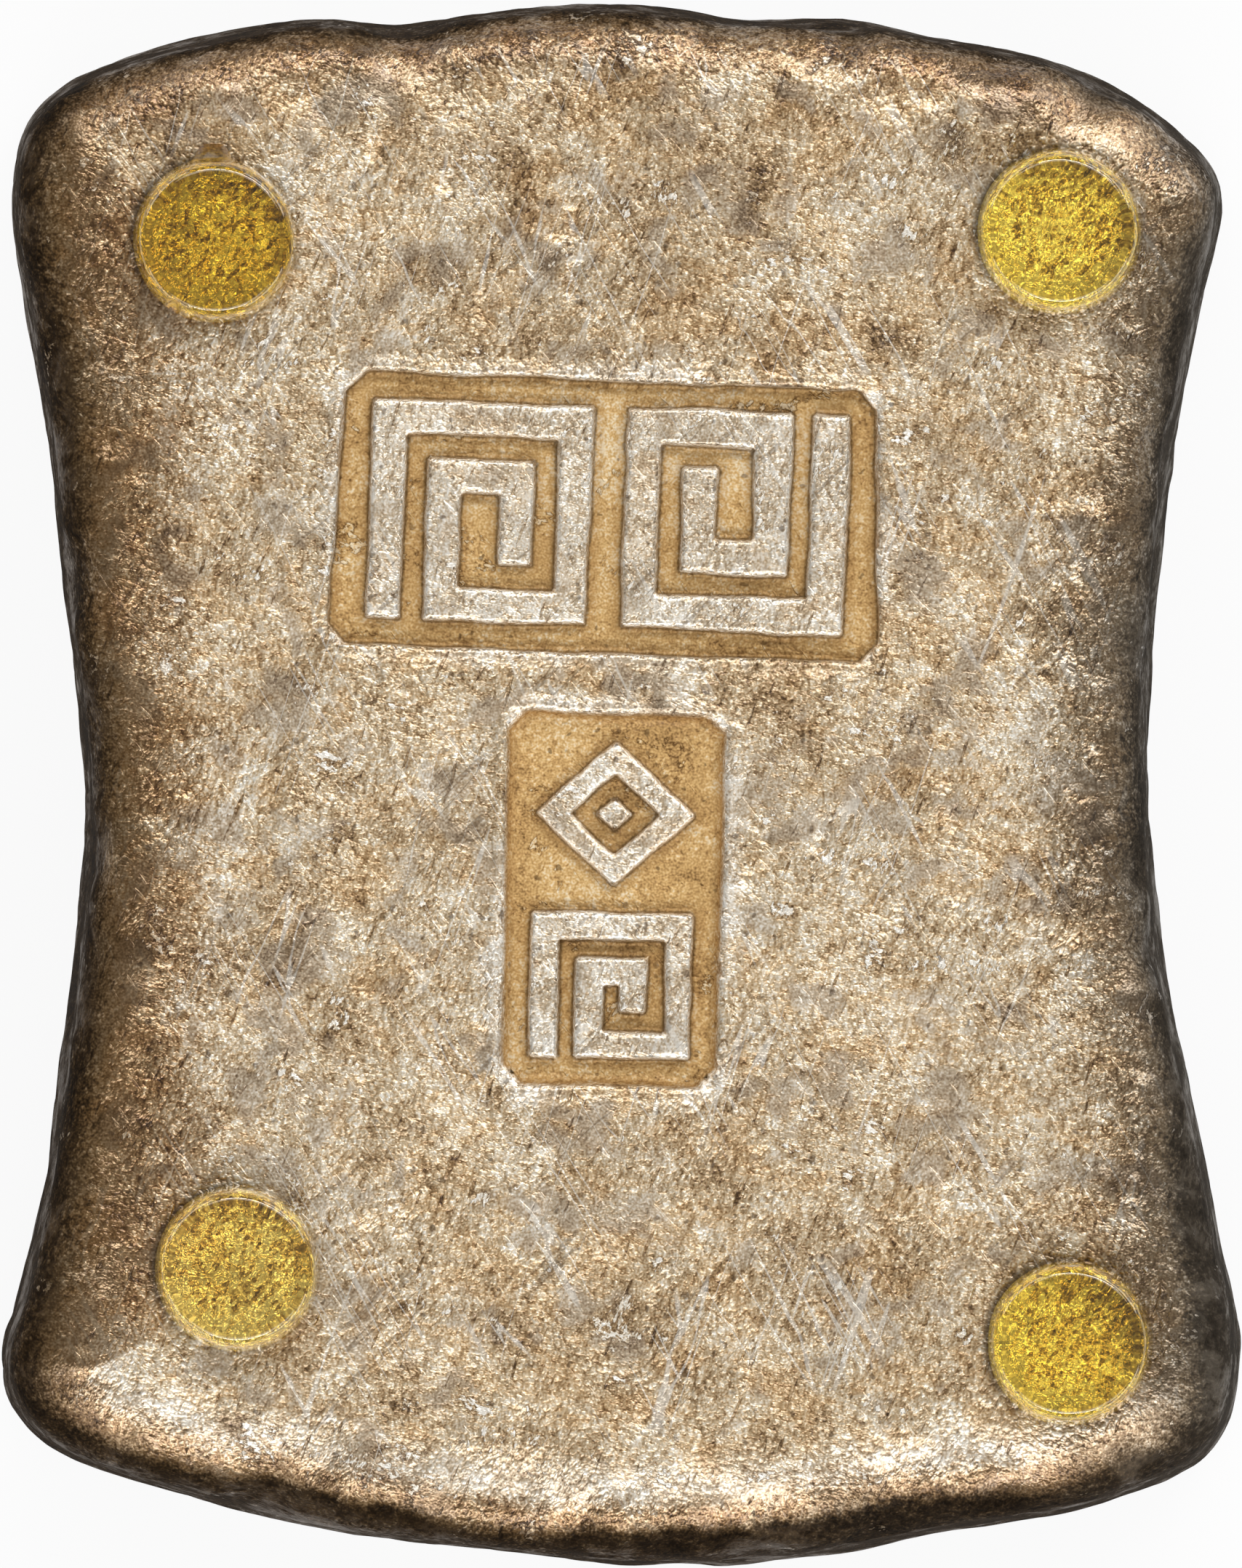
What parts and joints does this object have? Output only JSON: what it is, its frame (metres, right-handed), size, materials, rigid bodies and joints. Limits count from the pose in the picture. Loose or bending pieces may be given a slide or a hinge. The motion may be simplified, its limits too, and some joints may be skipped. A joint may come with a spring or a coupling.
{
  "type": "metal ingot",
  "caption": "Waisted cast silver ingot with struck seals of plain fret ornament in its upper face and clear stick-on bumper pads near the corners.",
  "frame": {"origin": "on the resting face, under the middle of the outline", "axes": "+Y along the length, +Z up out of the struck face, +X to the right when the struck face is looked at with +Y up"},
  "size_m": [0.0754, 0.0952, 0.0325],
  "materials": {
    "toned_silver": "cast silver with a fine grain, rubbed bright on the struck face and toned tan to brown-black in the seals and down the sides",
    "yellowed_pad": "clear polyurethane gone yellow, glossy"
  },
  "bodies": {
    "root": {"ingot": "toned_silver", "pad_upper_left": "yellowed_pad", "pad_upper_right": "yellowed_pad", "pad_lower_left": "yellowed_pad", "pad_lower_right": "yellowed_pad"}
  },
  "joints": []
}
